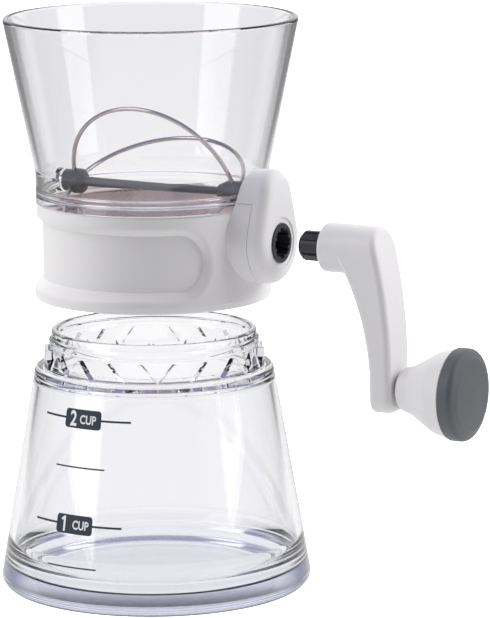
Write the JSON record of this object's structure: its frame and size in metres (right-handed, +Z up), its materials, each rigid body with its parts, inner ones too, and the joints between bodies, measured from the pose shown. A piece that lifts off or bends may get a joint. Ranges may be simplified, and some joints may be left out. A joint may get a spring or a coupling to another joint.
{
  "type": "hand-crank flour mill",
  "caption": "Hand-crank flour mill or sifter: clear hopper and cranked wire agitator over a mesh bowl, on a clear measuring jar, shown opened out.",
  "frame": {"origin": "centre of the jar's base, on the surface it stands on", "axes": "+Z up along the jar and hopper axis, +X along the crank's axis towards the crank"},
  "size_m": [0.1894, 0.1158, 0.2129],
  "materials": {
    "clear_plastic": "polished clear copolyester",
    "white_plastic": "satin moulded ABS",
    "grey_plastic": "fine-textured moulded nylon",
    "dark_plastic": "moulded acetal",
    "cap_grey": "soft-touch over-moulding",
    "steel_wire": "drawn bright wire",
    "steel_mesh": "fine woven cloth",
    "steel_bright": "turned",
    "silicone": "translucent silicone",
    "acetal_gear": "natural acetal"
  },
  "bodies": {
    "jar_body": {"jar": "clear_plastic"},
    "mill_head": {"base_ring": "white_plastic", "hopper": "clear_plastic", "screen_mesh": "steel_mesh", "screen_rim": "grey_plastic", "hopper_gasket": "silicone", "gear_cover": "white_plastic", "gear_case_screws": "steel_bright", "shaft_bush": "acetal_gear", "shaft_seal": "silicone"},
    "agitator": {"agitator_shaft": "grey_plastic", "idle_hub": "grey_plastic", "drive_hub": "grey_plastic", "bow_1": "steel_wire", "bow_2": "steel_wire", "bow_3": "steel_wire", "bow_4": "steel_wire", "agitator_gear": "acetal_gear", "agitator_clip": "steel_bright"},
    "drive": {"drive_gear": "acetal_gear", "drive_washer": "acetal_gear", "drive_socket": "dark_plastic"},
    "crank": {"crank_spline": "dark_plastic", "crank_arm": "white_plastic", "knob_post": "steel_bright", "knob_washer": "steel_bright"},
    "knob": {"knob_grip": "white_plastic", "knob_cap": "cap_grey"}
  },
  "joints": [
    {"name": "hopper_lift", "type": "slide", "parent": "jar_body", "child": "mill_head", "axis": [0, 0, 1], "range_m": [-0.0255, 0.03]},
    {"name": "drive_turn", "type": "hinge", "parent": "mill_head", "child": "drive", "pos_m": [0.05, 0, 0.1325], "axis": [1, 0, 0], "continuous": true},
    {"name": "agitator_turn", "type": "hinge", "parent": "mill_head", "child": "agitator", "pos_m": [0, 0, 0.15], "axis": [1, 0, 0], "continuous": true},
    {"name": "crank_pull", "type": "slide", "parent": "drive", "child": "crank", "axis": [1, 0, 0], "range_m": [-0.0167, 0.02]},
    {"name": "knob_spin", "type": "hinge", "parent": "crank", "child": "knob", "pos_m": [0.11, 0, 0.0829], "axis": [1, 0, 0], "continuous": true}
  ],
  "couplings": [
    {"joint": "agitator_turn", "follows": "drive_turn", "ratio": -1.3333}
  ]
}
